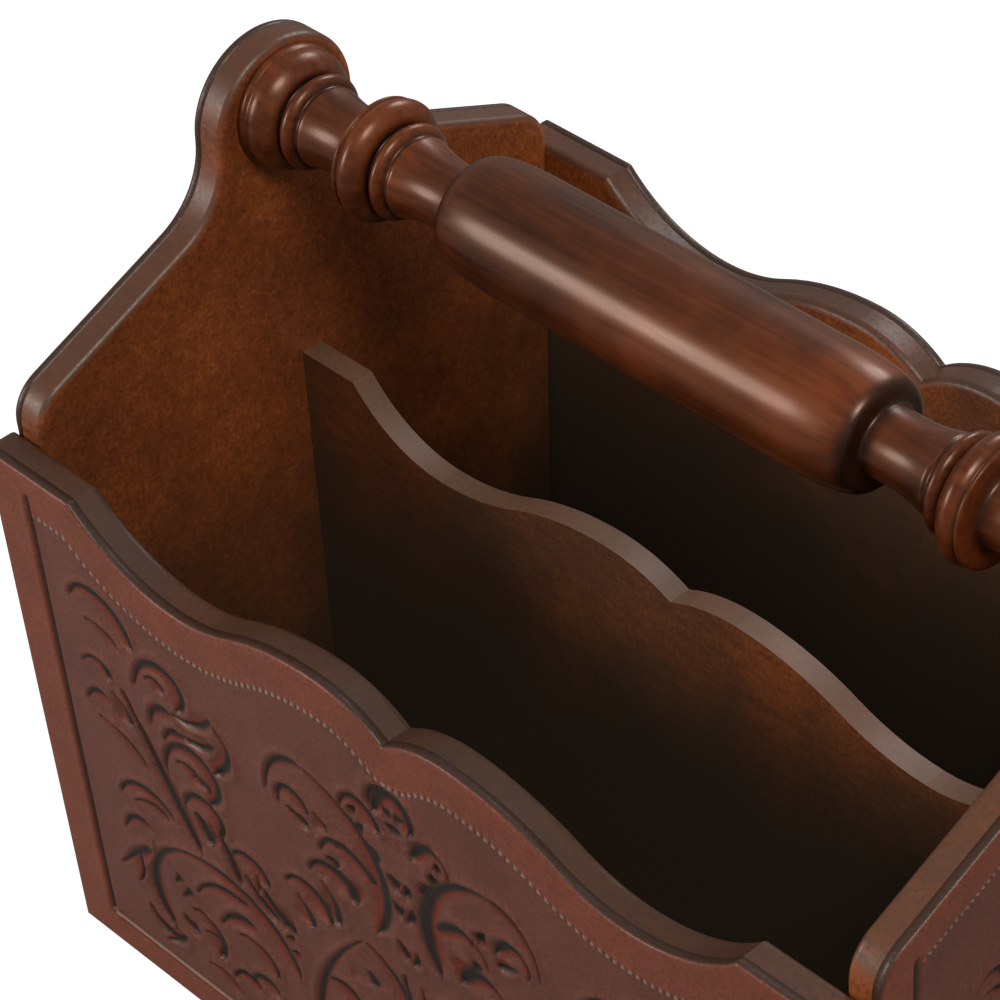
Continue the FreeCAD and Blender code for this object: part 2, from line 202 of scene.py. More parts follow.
def turnedWood(name, look):
    material, tree = newMaterial(name)
    place = addNode(tree, "TexCoord")
    along = addNode(tree, "Mapping", {"Scale": (1 / look["streakStretch"], 1, 1)},
                    {"Vector": place.outputs["Object"]})
    clouds = addNode(tree, "TexNoise", {"Scale": 1 / (look["cloudMm"] * mm), "Detail": 4},
                     {"Vector": place.outputs["Object"]})
    streaks = addNode(tree, "TexNoise", {"Scale": 1 / (look["streakMm"] * mm), "Detail": 3},
                      {"Vector": along.outputs[0]})
    mix = addNode(tree, "Math", {"operation": "MULTIPLY_ADD", 1: 0.4},
                  {0: streaks.outputs[0], 2: clouds.outputs[0]})
    stops = [(0.52, look["dark"]), (0.70, look["middle"]), (0.90, look["warm"])]
    colour = addNode(tree, "ValToRGB", {"stops": stops},
                     {"Fac": mix.outputs[0]})
    glaze = addNode(tree, "Attribute", {"attribute_name": "glaze"})
    toned = addNode(tree, "Mix", {"data_type": "RGBA", 7: look["glaze"]},
                    {0: glaze.outputs["Fac"], 6: colour.outputs[0]})
    bump = addNode(tree, "Bump", {"Strength": look["bump"], "Distance": 0.0003},
                   {"Height": streaks.outputs[0]})
    rough = addNode(tree, "MapRange", {"From Min": 0.3, "From Max": 0.7, "To Min": look["roughness"] - 0.05,
                                       "To Max": look["roughness"] + 0.08}, {"Value": streaks.outputs[0]})
    lacquer = {"IOR": 1.5, "Coat Weight": look["coat"], "Coat Roughness": look["coatRoughness"],
               "Specular Tint": look["sheen"], "Coat Tint": look["sheen"]}
    sources = {"Base Color": toned.outputs[2], "Roughness": rough.outputs[0], "Normal": bump.outputs[0]}
    surface = addNode(tree, "BsdfPrincipled", lacquer, sources)
    finishMaterial(tree, surface)
    return material


# Vegetable-tanned leather, tooled, dyed red-brown and antiqued. The plain border is redder, the matted
# ground greyer, and dark antique paste stays in every cut. One wall of a cut shows the raw red dye, the
# beaded top line and the foot line carry a painted highlight, and the cut edge is burnished dark brown.
leatherLook = {
    "border": "#7c3f2c", "ground": "#693b30", "paste": "#0a0605", "flank": "#74260f",
    "edge": "#3a261d", "glint": "#c0aca2",
    "grainMm": 0.9, "cloudMm": 24, "mattingMm": 1.6,
    "roughness": 0.46, "coat": 0.12, "coatRoughness": 0.20, "bump": 0.45,
}


def tooledLeather(name, look):
    material, tree = newMaterial(name)
    place = addNode(tree, "TexCoord")
    clouds = addNode(tree, "TexNoise", {"Scale": 1 / (look["cloudMm"] * mm), "Detail": 5, "Roughness": 0.65},
                     {"Vector": place.outputs["Object"]})
    grain = addNode(tree, "TexVoronoi", {"Scale": 1 / (look["grainMm"] * mm), "Randomness": 1.0},
                    {"Vector": place.outputs["Object"]})
    matting = addNode(tree, "TexNoise",
                      {"Scale": 1 / (look["mattingMm"] * mm), "Detail": 3, "Roughness": 0.7},
                      {"Vector": place.outputs["Object"]})
    mask = {key: addNode(tree, "Attribute", {"attribute_name": key}).outputs["Fac"]
            for key in ("ground", "paste", "flank", "glint", "edge")}
    base = addNode(tree, "Mix", {"data_type": "RGBA", 6: look["border"], 7: look["ground"]},
                   {0: mask["ground"]})
    shade = addNode(tree, "MapRange", {"From Min": 0.3, "From Max": 0.7, "To Min": 0.84, "To Max": 1.12},
                    {"Value": clouds.outputs[0]})
    fine = addNode(tree, "MapRange", {"From Min": 0.3, "From Max": 0.7, "To Min": 0.72, "To Max": 1.26},
                   {"Value": matting.outputs[0]})
    both = addNode(tree, "Math", {"operation": "MULTIPLY"}, {0: shade.outputs[0], 1: fine.outputs[0]})
    tinted = addNode(tree, "VectorMath", {"operation": "SCALE"},
                     {0: base.outputs[2], "Scale": both.outputs[0]})
    colour = tinted.outputs[0]
    # glint is a painted highlight; flank, paste and edge are the leather's own colours
    for key in ("flank", "paste", "glint", "edge"):
        dyed = addNode(tree, "Mix", {"data_type": "RGBA", 7: look[key]}, {0: mask[key], 6: colour})
        colour = dyed.outputs[2]
    relief = addNode(tree, "Math", {"operation": "MULTIPLY_ADD", 1: 0.5},
                     {0: grain.outputs["Distance"], 2: matting.outputs[0]})
    bump = addNode(tree, "Bump", {"Strength": look["bump"], "Distance": 0.0004},
                   {"Height": relief.outputs[0]})
    rough = addNode(tree, "MapRange", {"From Min": 0.3, "From Max": 0.7, "To Min": look["roughness"] - 0.08,
                                       "To Max": look["roughness"] + 0.08}, {"Value": matting.outputs[0]})
    wax = {"IOR": 1.45, "Coat Weight": look["coat"], "Coat Roughness": look["coatRoughness"]}
    sources = {"Base Color": colour, "Roughness": rough.outputs[0], "Normal": bump.outputs[0]}
    surface = addNode(tree, "BsdfPrincipled", wax, sources)
    finishMaterial(tree, surface)
    return material


# Bright drawn-steel wire, as nails and screws come: grey, with faint drawing marks along the shank.
steelLook = {"bright": "#b3b3b0", "dull": "#7c7c7a", "marksMm": 0.6, "roughness": 0.34}


def drawnSteel(name, look):
    material, tree = newMaterial(name)
    place = addNode(tree, "TexCoord")
    marks = addNode(tree, "TexNoise", {"Scale": 1 / (look["marksMm"] * mm), "Detail": 2},
                    {"Vector": place.outputs["Object"]})
    colour = addNode(tree, "ValToRGB", {"stops": [(0.3, look["dull"]), (0.7, look["bright"])]},
                     {"Fac": marks.outputs[0]})
    rough = addNode(tree, "MapRange", {"To Min": look["roughness"] - 0.1, "To Max": look["roughness"] + 0.1},
                    {"Value": marks.outputs[0]})
    surface = addNode(tree, "BsdfPrincipled", {"Metallic": 1.0},
                      {"Base Color": colour.outputs[0], "Roughness": rough.outputs[0]})
    finishMaterial(tree, surface)
    return material


# the end boards are a lighter copy of the wood, painted light so they glow more, with a paler painted sheen
# on their rims and the painted shade starting lower
litEndLook = {
    **woodLook, "shadeColour": "#33291f", "dark": "#5a2f18", "middle": "#80431f", "warm": "#a75f2b",
    "edge": "#443024", "shadeBelowMm": 45, "unshadedAboveMm": 205, "endGrain": 0.0,
}
wood = stainedWood("mahoganyStainedBoards", woodLook)
# the divider's upward edges carry a paler painted sheen than the other long boards
dividerWood = stainedWood("mahoganyStainedDivider", {**woodLook, "edge": "#5c4535"})
litEndWood = stainedWood("mahoganyEndsPaintedLit", litEndLook)
handleWood = turnedWood("lacqueredTurnedWood", handleLook)
leather = tooledLeather("antiquedTooledLeather", leatherLook)
steel = drawnSteel("drawnSteelWire", steelLook)

finishes = [
    (wood, ("front_panel", "back_panel", "bottom_board")),
    (litEndWood, ("left_end_panel", "right_end_panel")),
    (dividerWood, ("divider",)),
    (steel, ("front_nails", "back_nails", "end_nails", "floor_nails", "handle_screws")),
]
for material, names in finishes:
    for name in names:
        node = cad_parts[name]
        node.data.materials.clear()
        node.data.materials.append(material)
print("materials made")


# stations and radii in mm; the section softens its edges and the colour darkens within the darkening reach of
# a dip
handleTurning = {
    "sides": 132, "stepMm": 0.66, "softenMm": 0.45, "darkeningReach": 5,
    "gripRadius": 20.6, "gripStraight": 62.0, "gripEnd": 84.0, "gripEndRadius": 17.2,
    "neckEdge": 13.0, "grooveRadius": 13.2, "grooveWidth": 1.6,
    "ringRadius": 16.3, "ringWidth": 5.2, "beadRadius": 20.4, "beadWidth": 10.0, "beadAt": 122.5,
    "lipWidth": 1.6, "flangeRadius": 21.0, "flangeWidth": 12.0,
}


def arcPoints(x0, r0, x1, r1, rise, count=14):
    # a bow from one station to the next; rise is how far its middle stands out (negative hollows it)
    t = np.linspace(0, 1, count)
    bow = rise * 4 * t * (1 - t)
    return list(zip(x0 + (x1 - x0) * t, r0 + (r1 - r0) * t + bow))


def handleProfile(s, half):
    # half of the section, from the middle outwards to the end board; half is the inside half length in mm
    beadIn = s["beadAt"] - s["beadWidth"] / 2
    beadOut = s["beadAt"] + s["beadWidth"] / 2
    ringOut = beadIn - s["grooveWidth"]
    ringIn = ringOut - s["ringWidth"]
    flangeIn = half - s["flangeWidth"]
    endRingOut = flangeIn - s["grooveWidth"]
    endRingIn = endRingOut - s["ringWidth"]
    neck, groove = s["neckEdge"], s["grooveRadius"]
    bead, flange = s["beadRadius"], s["flangeRadius"]
    # the grip: straight, then a shoulder rounding down to its end
    points = [(0, s["gripRadius"]), (s["gripStraight"], s["gripRadius"] - 0.1)]
    reach = s["gripEnd"] - s["gripStraight"]
    foot = s["gripEndRadius"] - 2.4
    fall = s["gripRadius"] - s["gripEndRadius"] + 2.3
    for angle in np.linspace(0, math.pi / 2, 16)[1:]:
        points.append((s["gripStraight"] + reach * math.sin(angle), foot + fall * math.cos(angle) ** 0.62))
    # inner neck, groove, ring, groove
    points += arcPoints(s["gripEnd"] + 0.4, neck - 1.4, ringIn - s["grooveWidth"], neck + 0.8, -1.5)
    points += [(ringIn - 1.4, groove), (ringIn - 0.2, groove)]
    points += arcPoints(ringIn, s["ringRadius"] - 2.2, ringOut, s["ringRadius"] - 2.2, 2.2)
    points += [(ringOut + 0.2, groove), (beadIn - 0.2, groove)]
    # bead with a flat lip on its outer side
    lipIn = beadOut - s["lipWidth"]
    points += arcPoints(beadIn, bead - 3.6, lipIn, bead - 1.2, 2.6)
    points += [(lipIn + 0.3, bead - 1.8), (lipIn + 0.6, bead - 0.4), (beadOut, bead - 0.4)]
    points += [(beadOut + 0.4, bead - 2.0), (beadOut + 0.6, neck + 1.0)]
    # outer neck, groove, ring, groove
    points += arcPoints(beadOut + 1.6, neck - 0.6, endRingIn - s["grooveWidth"], neck + 0.8, -1.2)
    points += [(endRingIn - 1.4, groove), (endRingIn - 0.2, groove)]
    points += arcPoints(endRingIn, s["ringRadius"] - 2.0, endRingOut, s["ringRadius"] - 2.0, 2.0)
    points += [(endRingOut + 0.2, groove), (flangeIn - 0.2, groove)]
    # flange against the end board
    points += arcPoints(flangeIn, flange - 5.0, half - 3.2, flange - 0.9, 1.9)
    points += [(half - 2.9, flange - 0.6), (half - 2.6, flange), (half - 0.5, flange), (half, flange - 0.5)]
    return np.array(points)


def makeHandle(s):
    low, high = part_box("handle")
    half = (high[0] - low[0]) / 2 / mm
    middle = (low[2] + high[2]) / 2
    rough = handleProfile(s, half)
    lengths = np.concatenate([[0], np.cumsum(np.hypot(*np.diff(rough, axis=0).T))])
    fineStep = s["stepMm"] / 2
    even = np.arange(0, lengths[-1], fineStep)
    x = np.interp(even, lengths, rough[:, 0])
    r = np.interp(even, lengths, rough[:, 1])
    # the tool leaves no knife edges: soften the section a little
    width = int(4 * s["softenMm"] / fineStep)
    kernel = np.exp(-0.5 * (np.arange(-width, width + 1) * fineStep / s["softenMm"]) ** 2)
    kernel /= kernel.sum()
    soft = [np.convolve(np.pad(v, width, mode="edge"), kernel, mode="valid") for v in (x, r)]
    x = np.clip(soft[0], 0, half)[::2]
    r = soft[1][::2]
    x[0], x[-1] = 0, half
    # the colour is darker where the section dips below its surroundings, and on the grip's shoulder
    span = int(s["darkeningReach"] / s["stepMm"])
    around = np.array([r[max(0, i - span):i + span + 1].mean() for i in range(len(r))])
    glaze = smoothStep(-0.1, 1.3, around - r)
    end = s["gripEnd"]
    shoulder = 0.85 * smoothStep(end - 5, end - 1, x) * (1 - smoothStep(end + 1, end + 6, x))
    glaze = np.maximum(glaze, shoulder)
    x = np.concatenate([-x[::-1], x[1:]])
    r = np.concatenate([r[::-1], r[1:]])
    glaze = np.concatenate([glaze[::-1], glaze[1:]])
    angles = np.linspace(0, 2 * math.pi, s["sides"], endpoint=False)
    ringCount = len(x)
    verts = np.empty((ringCount, s["sides"], 3))
    verts[:, :, 0] = x[:, None] * mm
    verts[:, :, 1] = r[:, None] * np.cos(angles) * mm
    verts[:, :, 2] = r[:, None] * np.sin(angles) * mm
    index = np.arange(ringCount * s["sides"]).reshape(ringCount, s["sides"])
    beside = np.roll(index, -1, axis=1)
    faces = np.stack([beside[:-1], beside[1:], index[1:], index[:-1]], axis=-1).reshape(-1, 4).tolist()
    faces.append(index[0].tolist()[::-1])
    faces.append(index[-1].tolist())
    piece = newPiece("turnedHandle", verts.reshape(-1, 3), faces, handleWood)
    piece.location = (0, 0, middle)
    addAttribute(piece, "glaze", np.repeat(glaze, s["sides"]))
    piece.data.validate()
    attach(piece, "root")
    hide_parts("handle")
    return piece


makeHandle(handleTurning)
print("handle turned")


# Scrollwork cut with a swivel knife, the left half of it, in mm on the long face: x from the middle, y up
# from the foot. A stroke starts at (x, y) on a heading in degrees, runs its length while it turns, and
# tightens towards its end where curl is above nought. Its width swells to a belly and tapers to a point.
# (x, y, heading, length, turn, curl, width)
strokes = [
    # feather at the upper outer corner, and the hooks down its outer side
    (-152, 171, 80, 43, -150, -0.7, 2.2), (-146, 166, 5, 19, -50, 0, 1.4), (-152, 143, 60, 20, -125, 0, 1.4),
    (-143, 145, 20, 7, -120, 0, 1.0), (-153, 125, 80, 17, -110, 0, 1.3), (-138, 138, -45, 15, -30, 0, 2.2),
    (-149, 121, -5, 28, -45, 0, 1.6), (-133, 144, -68, 68, 8, 0, 2.0),
    # leaves on its inner side, from the top down
    (-125, 148, 78, 48, -240, 0.8, 2.0), (-118, 156, 50, 12, -130, 0, 1.5),
    (-119, 134, 100, 22, -120, 0, 1.6),
    (-106, 148, -10, 25, 75, 0, 1.5), (-86, 157, -25, 30, -125, -0.4, 1.8), (-113, 132, 75, 15, -90, 0, 1.6),
    (-104, 141, -20, 21, 75, 0, 1.5), (-115, 113, 100, 60, -270, 0.5, 1.9), (-109, 125, 30, 16, -100, 0, 1.7),
    (-102, 122, 60, 12, -150, 0, 1.2), (-110, 99, 90, 40, -240, 0.6, 1.8), (-103, 106, -70, 14, 10, 0, 2.3),
    (-96, 106, -80, 8, -20, 0, 1.4), (-92, 106, -80, 24, 15, 0, 1.6), (-88, 95, 70, 27, -160, 0, 1.9),
    (-73, 93, -85, 23, 90, 0, 2.3), (-81, 93, -75, 21, 60, 0, 1.4), (-76, 96, -60, 9, -60, 0, 1.2),
    # outer leaves of the lower scroll
    (-145, 87, 75, 37, -115, -0.5, 1.8), (-138, 88, 40, 20, -70, 0, 1.1), (-146, 70, 80, 21, -110, 0, 1.5),
    (-153, 48, 52, 29, -15, 0, 1.5), (-145, 44, 50, 16, 60, 0, 1.4), (-141, 37, -80, 21, 130, 0.5, 1.4),
    (-134, 24, 10, 15, 60, 0, 1.5), (-123, 59, 55, 7, 0, 0, 1.7), (-120, 54, 50, 8, 0, 0, 1.7),
    # lower scroll, its stem and the leaves within
    (-108, 82, -160, 67, 130, 0.6, 1.9), (-119, 77, 26, 73, -100, 0.2, 2.3),
    (-111, 62, 68, 34, -80, -0.4, 1.5),
    (-121, 46, -100, 12, 130, 0, 1.6), (-116, 51, 28, 28, -170, 0, 2.1), (-110, 45, 10, 14, -120, 0, 1.3),
    (-100, 55, 68, 25, -80, 0, 1.8), (-91, 57, 22, 25, -120, 0.4, 1.7), (-89, 34, 75, 22, -150, 0.4, 1.7),
    (-98, 30, 80, 20, -140, 0, 1.6), (-79, 30, 60, 16, -110, 0, 1.5), (-112, 28, 20, 18, -70, 0, 1.5),
    # upper scroll beside the middle
    (-61, 144, 96, 36, -100, 0, 1.3), (-44, 167, -5, 77, -125, 0.2, 2.7),
    (-55, 142, 130, 26, -210, -0.4, 1.7),
    (-52, 144, -40, 12, 30, 0, 1.3), (-38, 150, -45, 8, -20, 0, 1.6), (-33, 143, -35, 6, -20, 0, 1.3),
    # its leaves, outer side then inner side
    (-24, 162, 100, 27, -180, -0.5, 1.9), (-21, 164, -10, 4, 0, 0, 2.0), (-19, 158, -15, 5, 0, 0, 2.0),
    (-16, 154, -38, 10, -20, 0, 2.7), (-10, 172, 105, 34, -210, -0.2, 2.3), (-5, 174, -15, 5, 0, 0, 1.8),
    (-4, 168, -10, 5, 0, 0, 1.8), (-38, 133, 85, 33, -140, -0.6, 2.0), (-31, 130, -62, 14, 10, 0, 2.8),
    (-35, 133, -35, 6, 0, 0, 2.0), (-45, 120, 75, 27, -125, -0.5, 2.2), (-39, 119, -62, 19, -30, 0, 2.5),
    (-59, 105, 65, 30, -150, -0.4, 2.2), (-54, 103, -60, 15, -15, 0, 2.5), (-64, 75, 35, 5, -60, 0, 1.2),
    (-63, 69, 35, 6, -60, 0, 1.2), (-4, 147, -105, 8, 90, 0, 2.2), (-4, 136, -110, 9, 100, 0, 2.2),
    # loop under the middle and what fills it
    (-22, 104, -135, 70, 45, 0.5, 1.3), (-21, 104, -25, 34, -60, 0, 2.6), (-9, 74, -100, 40, -95, 0.3, 2.2),
    (-45, 69, 45, 19, -110, 0, 1.9), (-23, 90, -70, 8, 0, 0, 2.4), (-38, 60, 70, 24, -150, 0, 1.8),
    (-31, 62, -60, 13, -30, 0, 2.2), (-48, 48, 70, 24, -140, 0, 1.7), (-40, 47, -55, 12, -20, 0, 2.0),
    (-58, 34, 60, 22, -130, 0, 1.7), (-50, 34, -40, 10, -20, 0, 1.8), (-66, 26, 10, 26, -35, 0, 1.5),
    (-36, 28, 30, 30, -120, 0, 1.8), (-27, 33, 0, 12, -60, 0, 2.0), (-4, 102, -95, 22, 10, 0, 1.5),
    (-3, 70, -95, 26, 15, 0, 1.8), (-13, 36, 80, 20, -100, 0, 1.8), (-9, 34, 60, 8, -40, 0, 2.0),
    (-4, 118, -100, 10, 60, 0, 1.4),
]

# where the pattern goes on each face: scale and how far it is lifted, in mm
longFace = {
    "stepMm": 0.80, "patterns": [(1.0, 0)], "climb": 0,
    "borderMm": 17.3, "topBorderMm": 16.5, "footBorderMm": 15.4,
}
endFace = {
    "stepMm": 0.83, "patterns": [(0.60, 4), (0.48, 110)], "climb": 1,
    "borderMm": 13.0, "topBorderMm": 12.0, "footBorderMm": 15.4,
}
# depths and widths in mm; names ending in At or Width without Mm are in half widths of the stroke
tooling = {
    "edgeRoundMm": 1.1, "borderSoftMm": 0.8, "groundMm": 0.25, "wanderMm": 0.06, "coarsen": 3, "busyMm": 0.05,
    "pointMm": 0.7, "widen": 2.25, "leastHalfMm": 0.25, "fadeHalfMm": 0.45, "cutMm": 1.35, "cutWidth": 0.95,
    "bevelMm": 0.60, "bevelAt": 1.2, "bevelWidth": 1.5,
    "lipMm": 0.45, "lipAt": 2.0, "lipWidth": 0.7, "lipOffMm": 0.3,
    "pasteAt": 0.15, "pasteWidth": 0.95, "flankAt": 1.35, "flankWidth": 0.65,
    "pillowMm": 0.60, "pillowReachMm": 4.5,
    "sideGrooveMm": 1.2, "sideGrooveWidthMm": 1.1, "footLineMm": 0.55, "footLineWidthMm": 0.6,
    "stippleMm": 0.55, "stippleSpacingMm": 3.0, "stippleWidthMm": 0.75,
}


def hump(distance, width, power=2):
    # 1 at nought, fading to either side
    return np.exp(-(distance / width) ** power)


def strokeLine(stroke, mirrored, s):
    # points, directions and half widths along one stroke, and the side that its curl opens to
    x, y, heading, length, turn, curl, width = stroke
    count = max(8, int(length / s["pointMm"]))
    share = np.linspace(0, 1, count)
    angle = np.radians(heading + turn * (share + curl * (share ** 2 - share)))
    if mirrored:
        x, angle = -x, math.pi - angle
    aim = np.stack([np.cos(angle), np.sin(angle)], axis=1)
    steps = (aim[1:] + aim[:-1]) / 2 * length / (count - 1)
    line = np.array([x, y]) + np.concatenate([[[0, 0]], np.cumsum(steps, axis=0)])
    points = np.clip(share / 0.05, 0, 1) * np.clip((1 - share) / 0.08, 0, 1)
    belly = (0.28 + 0.72 * np.sin(math.pi * share ** 1.9) ** 0.8) * points
    return line, aim, width / 2 * belly, -np.sign(turn) * (-1 if mirrored else 1)


def cutStroke(field, stroke, mirrored, scale, lift, s):
    # one knife stroke: an open V, steep outside the curl and bevelled inside it, with a raised lip
    line, aim, half, hollow = strokeLine(stroke, mirrored, s)
    line = line * scale + (0, lift)
    half = half * s["widen"] * max(scale, 0.6)
    reach = s["pillowReachMm"] * 2
    x, y = field["x"], field["y"]
    low, high = line.min(axis=0) - reach, line.max(axis=0) + reach
    near = np.flatnonzero((x > low[0]) & (x < high[0]) & (y > low[1]) & (y < high[1]))
    if len(near) == 0:
        return
    dx = x[near][:, None] - line[:, 0]
    dy = y[near][:, None] - line[:, 1]
    gaps = np.hypot(dx, dy)
    closest = gaps.argmin(axis=1)
    rows = np.arange(len(near))
    gap = gaps[rows, closest]
    atEnd = closest[:, None] == np.array([0, len(line) - 1])
    off = aim[closest, 1] * dx[rows, closest] - aim[closest, 0] * dy[rows, closest]
    off = np.where(atEnd.any(axis=1), np.sign(off) * gap, off)
    wide = np.maximum(half[closest], s["leastHalfMm"])
    fade = np.clip(half[closest] / s["fadeHalfMm"], 0, 1)
    inward = off * hollow
    cut = hump(off, wide * s["cutWidth"])
    bevel = hump(inward - s["bevelAt"] * wide, s["bevelWidth"] * wide)
    lip = hump(inward + s["lipAt"] * wide + s["lipOffMm"], s["lipWidth"] * wide + s["lipOffMm"])
    depth = s["cutMm"] * np.clip(wide, 0, 1.2) ** 0.5 * cut + s["bevelMm"] * wide * bevel * (1 - cut)
    layers = {
        "sink": fade * depth,
        "lip": fade * s["lipMm"] * lip,
        "pillow": hump(gap, s["pillowReachMm"]),
        "paste": fade * hump(off - hollow * s["pasteAt"] * wide, wide * s["pasteWidth"], 4),
        "flank": fade * hump(inward - s["flankAt"] * wide, s["flankWidth"] * wide),
    }
    for key, values in layers.items():
        field[key][near] = np.maximum(field[key][near], values)


def pressLine(field, distance, where, depth, width, dark):
    # one straight or following groove between two low ridges; distance is measured to its middle
    ridgeHeight, ridgeAt, dyeWidth = 0.18, 2.2, 1.05
    groove = hump(distance, width) * where
    ridge = ridgeHeight * hump(np.abs(distance) - ridgeAt * width, width) * where
    field["h"] += depth * (ridge - groove)
    field["paste"] = np.maximum(field["paste"], dark * hump(distance, width * dyeWidth) * where)


def distanceToTop(x, y, outline):
    # only the points near the top need it, and runs of them keep the memory small
    farMm, reachMm, run = 99.0, 40, 20000
    toTop = np.full_like(x, farMm)
    high = np.flatnonzero(y > outline[:, 1].min() - reachMm)
    for begin in range(0, len(high), run):
        part = high[begin:begin + run]
        gaps = np.hypot(x[part, None] - outline[::2, 0], y[part, None] - outline[::2, 1])
        toTop[part] = gaps.min(axis=1)
    return toTop


def reliefOf(x, y, outline, face, s):
    # heights and dye masks over one face; outline is the top edge as points in mm
    field = {"x": x, "y": y}
    for key in ("h", "sink", "lip", "pillow", "paste", "flank"):
        field[key] = np.zeros_like(x)
    side, top, foot = (face[key] for key in ("borderMm", "topBorderMm", "footBorderMm"))
    toTop = distanceToTop(x, y, outline)
    fromSide = np.abs(x).max() - np.abs(x)
    soft = s["borderSoftMm"]
    inside = smoothStep(side - soft, side + soft, fromSide)
    inside *= smoothStep(top - soft, top + soft, toTop)
    inside *= smoothStep(foot - soft, foot + soft, y)
    for scale, lift in face["patterns"]:
        for stroke in strokes:
            for mirrored in (True, False):
                cutStroke(field, stroke, mirrored, scale, lift, s)
    # the strokes stop short of the border
    clear = smoothStep(top + 1, top + 4, toTop) * smoothStep(side + 1, side + 3, fromSide)
    for key in ("sink", "lip", "pillow", "paste", "flank"):
        field[key] *= clear
    field["h"] = s["pillowMm"] * field["pillow"] + field["lip"] * (1 - np.clip(field["sink"], 0, 1))
    field["h"] -= field["sink"]
    field["h"] -= s["groundMm"] * inside
    # a groove up each side and a pair of lines along the foot
    footReach = smoothStep(side - 1.5, side - 0.5, fromSide)
    sideReach = smoothStep(foot - 2.6, foot - 1.8, y) * smoothStep(8, 11, toTop)
    pressLine(field, fromSide - side, sideReach, s["sideGrooveMm"], s["sideGrooveWidthMm"], 1.0)
    for lower in (1.9, -0.4):
        pressLine(field, y - foot + lower, footReach, s["footLineMm"], s["footLineWidthMm"], 0.55)
    # the beaded line that follows the top edge
    beat = np.cos((face["climb"] * y - np.abs(x)) * 2 * math.pi / s["stippleSpacingMm"])
    across = hump(toTop - top, s["stippleWidthMm"]) * smoothStep(side + 1, side + 4, fromSide)
    field["h"] -= s["stippleMm"] * across * beat
    field["paste"] = np.maximum(field["paste"], 0.5 * across * (0.5 + 0.5 * beat))
    # painted highlight: glint on the crests between the pits of the beaded line and on the strip between the
    # two foot lines
    footHighlight = hump(y - foot + 0.75, 0.6) * footReach
    field["glint"] = np.maximum(across * (0.5 - 0.5 * beat) ** 2, 0.6 * footHighlight)
    # where the grid has to be fine
    busy = (field["sink"] > s["busyMm"]) | (field["lip"] > s["busyMm"]) | (across > 0.1)
    busy |= (np.abs(fromSide - side) < 3) & (toTop > 7)
    busy |= (np.abs(y - foot + 0.8) < 3) & (fromSide > side - 2)
    field["busy"] = busy
    # hand tooling is never quite even: a slow wander over the whole hide
    slow = np.sin(x / 17.0 + np.sin(y / 23.0) * 2) * np.sin(y / 19.0 + 1.3)
    quicker = np.sin(x / 7.3 + 2.0) * np.sin(y / 8.9)
    field["h"] += s["wanderMm"] * (slow + 0.5 * quicker) * inside
    field["ground"] = inside
    return field


def localMesh(node, inverse):
    verts = [inverse @ v.co for v in node.data.vertices]
    return BVHTree.FromPolygons(verts, [tuple(p.vertices) for p in node.data.polygons])


def topOutline(tree, halfWidth, thickness, step, coarsen):
    # top edge of the cut leather, read off the frame's own piece by looking straight down on it
    insetMm, samples = 0.02, 1501
    middle = samples // 2
    scan = np.linspace(-halfWidth + insetMm, halfWidth - insetMm, samples)
    scan[middle] = 0.0
    tops = []
    for x in scan:
        hit = tree.ray_cast(Vector((x * mm, 1.0, thickness * 0.4 * mm)), Vector((0, -1, 0)))[0]
        tops.append(hit.y / mm)
    line = np.stack([scan, np.array(tops)], axis=1)
    lengths = np.concatenate([[0], np.cumsum(np.hypot(*np.diff(line, axis=0).T))])
    halfCount = coarsen * (int(lengths[-1] / 2 / step / coarsen) + 1) + 1
    leftHalf = np.linspace(0, lengths[middle], halfCount)
    rightHalf = np.linspace(lengths[middle], lengths[-1], halfCount)
    even = np.concatenate([leftHalf[:-1], rightHalf])
    return np.stack([np.interp(even, lengths, line[:, k]) for k in (0, 1)], axis=1)


def weave(index, busy, coarsen):
    # faces over the grid: fine squares where it is busy, else large ones that share every fine edge point
    columns, rows = (n // coarsen for n in (index.shape[0] - 1, index.shape[1] - 1))
    fine = np.zeros((columns, rows), dtype=bool)
    for i in range(coarsen + 1):
        for j in range(coarsen + 1):
            corner = busy[i:i + columns * coarsen:coarsen, j:j + rows * coarsen:coarsen]
            fine |= corner[:columns, :rows]
    padded = np.pad(fine, 1, constant_values=True)
    faces = []
    for i in range(columns):
        for j in range(rows):
            left, low = i * coarsen, j * coarsen
            block = index[left:left + coarsen + 1, low:low + coarsen + 1]
            if fine[i, j]:
                squares = np.stack([block[:-1, :-1], block[1:, :-1], block[1:, 1:], block[:-1, 1:]], axis=-1)
                faces += squares.reshape(-1, 4).tolist()
                continue
            edges = ((block[:, 0], padded[i + 1, j]), (block[-1, :], padded[i + 2, j + 1]),
                     (block[::-1, -1], padded[i + 1, j + 2]), (block[0, ::-1], padded[i, j + 1]))
            faces.append([int(v) for edge, full in edges for v in (edge[:-1] if full else edge[:1])])
    return faces


def leatherPlace(nodeName, across, outward):
    # how one leaning face lies: its own X runs along the wall, Y up it and Z out of it
    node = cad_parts[nodeName]
    points = [v.co for v in node.data.vertices]
    nearMm = 0.2
    highest = max(p.z for p in points)
    foot = [p for p in points if p.z < nearMm * mm]
    head = [p for p in points if p.z > highest - nearMm * mm]
    footReach = [p.dot(outward) for p in foot]
    lean = math.atan2(min(p.dot(outward) for p in head) - min(footReach), highest)
    tilted = (Vector((0, 0, 1)) * math.cos(lean) + outward * math.sin(lean)).normalized()
    origin = outward * min(footReach)
    place = Matrix((across, tilted, across.cross(tilted).normalized())).transposed().to_4x4()
    place.translation = origin
    return {
        "place": place, "lean": lean, "tree": localMesh(node, place.inverted()),
        "thickness": (max(footReach) - min(footReach)) * math.cos(lean) / mm,
        "halfTop": max(abs((Vector(c) - origin).dot(across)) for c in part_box(nodeName)) / mm,
        "halfFoot": max(abs(p.dot(across)) for p in foot) / mm,
    }


